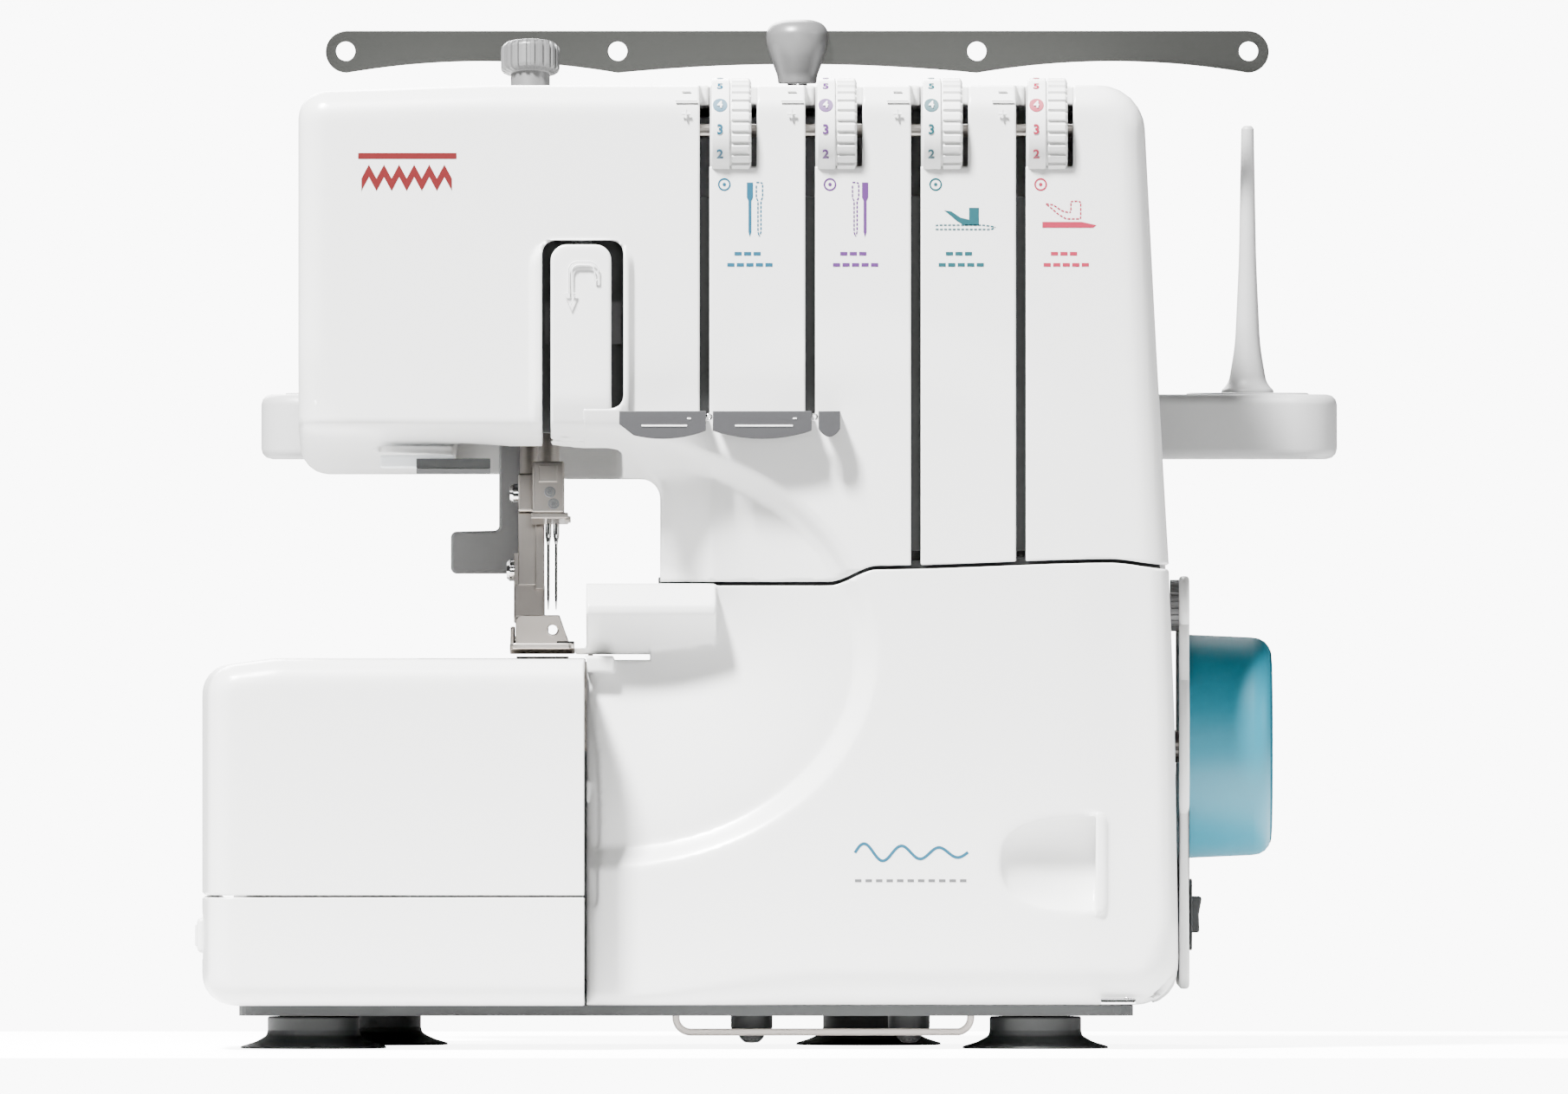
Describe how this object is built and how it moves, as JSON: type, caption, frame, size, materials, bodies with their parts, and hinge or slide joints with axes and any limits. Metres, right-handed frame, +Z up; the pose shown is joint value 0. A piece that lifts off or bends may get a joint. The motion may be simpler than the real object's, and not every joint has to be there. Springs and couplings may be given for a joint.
{
  "type": "serger overlock machine",
  "caption": "Domestic serger overlock machine: C-shaped body with tension dials on the front, looper cover, free-arm bed, spool stand behind, thread guide bar on a pole and a side handwheel.",
  "frame": {"origin": "on the table, under the middle of the overall box", "axes": "+X to the handwheel side, +Z up, the front with the dials faces -Y"},
  "size_m": [0.3508, 0.24, 0.3163],
  "materials": {
    "white": "glossy moulded",
    "grey_plastic": "satin moulded",
    "mid_grey": "satin",
    "black": "matte",
    "rubber": "soft rubber",
    "dark": "matte",
    "steel": "brushed",
    "chrome": "polished",
    "cast": "as cast",
    "blue": "satin moulded",
    "lens": "clear",
    "wire": "painted wire"
  },
  "bodies": {
    "body": {"upper_housing": "white", "rear_housing": "white", "side_housing": "white", "bed_lower_cover": "white", "take_up_cover": "white", "spool_stand": "grey_plastic", "spool_pin_1": "grey_plastic", "spool_pin_2": "grey_plastic", "spool_pin_3": "grey_plastic", "spool_pin_4": "grey_plastic", "thread_guide_left": "mid_grey", "thread_guide_middle": "mid_grey", "thread_guide_right": "mid_grey", "base_plate": "black", "drive_motor": "black", "power_inlet": "black", "foot_front_left": "rubber", "foot_rear_left": "rubber", "foot_front_right": "rubber", "foot_rear_right": "rubber", "drive_belt": "rubber", "thread_channel_plate": "dark", "dial_axle": "steel", "needle_plate": "steel", "lower_knife": "steel", "pole_lower_tube": "steel", "machine_frame": "cast", "lamp_lens": "lens", "tray_bracket": "wire"},
    "drive_shaft": {"handwheel": "blue", "main_shaft": "steel"},
    "motor_rotor": {"motor_pulley": "black"},
    "needle_carrier": {"needle_bar": "steel", "needle_clamp": "steel", "needle_left": "chrome", "needle_right": "chrome"},
    "take_up": {"take_up_lever": "mid_grey"},
    "upper_looper": {"upper_looper": "steel"},
    "lower_looper": {"lower_looper": "steel"},
    "upper_knife": {"upper_knife": "steel"},
    "feed": {"feed_dogs": "chrome"},
    "lifter": {"presser_lifter": "mid_grey"},
    "presser": {"presser_bar": "steel", "presser_foot_holder": "steel"},
    "foot": {"presser_foot": "steel"},
    "dial_1": {"tension_dial_1": "white"},
    "dial_2": {"tension_dial_2": "white"},
    "dial_3": {"tension_dial_3": "white"},
    "dial_4": {"tension_dial_4": "white"},
    "knob": {"pressure_knob": "grey_plastic"},
    "cover_carriage": {"cover_hinge_rod": "chrome"},
    "cover": {"looper_cover": "white"},
    "bed": {"bed_cover": "white"},
    "latch": {"bed_latch": "white"},
    "pole_middle": {"pole_middle_tube": "steel"},
    "pole_top": {"pole_top_rod": "chrome", "thread_guide_bar": "steel", "pole_cap": "grey_plastic"},
    "rocker": {"power_switch": "black"},
    "stitch_dial": {"stitch_length_dial": "white"}
  },
  "joints": [
    {"name": "handwheel_turn", "type": "hinge", "parent": "body", "child": "drive_shaft", "pos_m": [0.11, -0.03, 0.0921], "axis": [1, 0, 0], "continuous": true},
    {"name": "motor_turn", "type": "hinge", "parent": "body", "child": "motor_rotor", "pos_m": [0.107, 0.004, 0.048], "axis": [1, 0, 0], "continuous": true},
    {"name": "needle_bar_stroke", "type": "slide", "parent": "body", "child": "needle_carrier", "axis": [0, 0.225, 0.9744], "range_m": [-0.027, 0]},
    {"name": "take_up_swing", "type": "hinge", "parent": "body", "child": "take_up", "pos_m": [-0.057, -0.054, 0.2215], "axis": [1, 0, 0], "range_deg": [0, 17]},
    {"name": "upper_looper_swing", "type": "hinge", "parent": "body", "child": "upper_looper", "pos_m": [-0.0485, -0.075, 0.062], "axis": [0, 1, 0], "range_deg": [0, 11]},
    {"name": "lower_looper_swing", "type": "hinge", "parent": "body", "child": "lower_looper", "pos_m": [-0.0405, -0.07, 0.052], "axis": [0, 1, 0], "range_deg": [0, 13]},
    {"name": "upper_knife_stroke", "type": "slide", "parent": "body", "child": "upper_knife", "axis": [0, 0, 1], "range_m": [-0.006, 0]},
    {"name": "feed_stroke", "type": "slide", "parent": "body", "child": "feed", "axis": [0, 1, 0], "range_m": [-0.0015, 0.0015]},
    {"name": "presser_lift", "type": "hinge", "parent": "body", "child": "lifter", "pos_m": [-0.0797, -0.022, 0.187], "axis": [0, 1, 0], "range_deg": [0, 34]},
    {"name": "presser_bar_rise", "type": "slide", "parent": "body", "child": "presser", "axis": [0, 0.225, 0.9744], "range_m": [0, 0.005]},
    {"name": "foot_rock", "type": "hinge", "parent": "presser", "child": "foot", "pos_m": [-0.0735, -0.0484, 0.1247], "axis": [1, 0, 0], "range_deg": [-4, 0]},
    {"name": "dial_1_turn", "type": "hinge", "parent": "body", "child": "dial_1", "pos_m": [-0.01195, -0.0903, 0.2802], "axis": [1, 0, 0], "range_deg": [-112, 140]},
    {"name": "dial_2_turn", "type": "hinge", "parent": "body", "child": "dial_2", "pos_m": [0.02025, -0.0903, 0.2802], "axis": [1, 0, 0], "range_deg": [-112, 140]},
    {"name": "dial_3_turn", "type": "hinge", "parent": "body", "child": "dial_3", "pos_m": [0.05245, -0.0903, 0.2802], "axis": [1, 0, 0], "range_deg": [-112, 140]},
    {"name": "dial_4_turn", "type": "hinge", "parent": "body", "child": "dial_4", "pos_m": [0.08445, -0.0903, 0.2802], "axis": [1, 0, 0], "range_deg": [-112, 140]},
    {"name": "pressure_knob_turn", "type": "hinge", "parent": "body", "child": "knob", "pos_m": [-0.0735, -0.00848, 0.2976], "axis": [0, 0.225, 0.9744], "range_deg": [-170, 170]},
    {"name": "cover_slide", "type": "slide", "parent": "body", "child": "cover_carriage", "axis": [1, 0, 0], "range_m": [0, 0.006]},
    {"name": "cover_tilt", "type": "hinge", "parent": "cover_carriage", "child": "cover", "pos_m": [0.03, -0.091, 0.0192], "axis": [1, 0, 0], "range_deg": [0, 70]},
    {"name": "bed_cover_slide", "type": "slide", "parent": "body", "child": "bed", "axis": [-1, 0, 0], "range_m": [0, 0.06]},
    {"name": "bed_latch_press", "type": "slide", "parent": "body", "child": "latch", "axis": [1, 0, 0], "range_m": [0, 0.003], "stiffness_N_per_m": 200},
    {"name": "pole_middle_rise", "type": "slide", "parent": "body", "child": "pole_middle", "axis": [0, 0, 1], "range_m": [0, 0.1]},
    {"name": "pole_top_rise", "type": "slide", "parent": "pole_middle", "child": "pole_top", "axis": [0, 0, 1], "range_m": [0, 0.1]},
    {"name": "power_switch_rock", "type": "hinge", "parent": "body", "child": "rocker", "pos_m": [0.1275, 0.03, 0.04], "axis": [0, 1, 0], "range_deg": [-11, 0]},
    {"name": "stitch_length_turn", "type": "hinge", "parent": "body", "child": "stitch_dial", "pos_m": [0.1245, -0.052, 0.1353], "axis": [1, 0, 0], "range_deg": [-135, 135]}
  ],
  "couplings": [
    {"joint": "motor_turn", "follows": "handwheel_turn", "ratio": 3.5},
    {"joint": "take_up_swing", "follows": "needle_bar_stroke", "rad_per_m": -10.3},
    {"joint": "upper_looper_swing", "follows": "needle_bar_stroke", "rad_per_m": -6.4},
    {"joint": "lower_looper_swing", "follows": "needle_bar_stroke", "rad_per_m": -7.7},
    {"joint": "upper_knife_stroke", "follows": "needle_bar_stroke", "ratio": 0.2},
    {"joint": "feed_stroke", "follows": "needle_bar_stroke", "ratio": 0.05},
    {"joint": "presser_lift", "follows": "presser_bar_rise", "rad_per_m": 118.68}
  ]
}
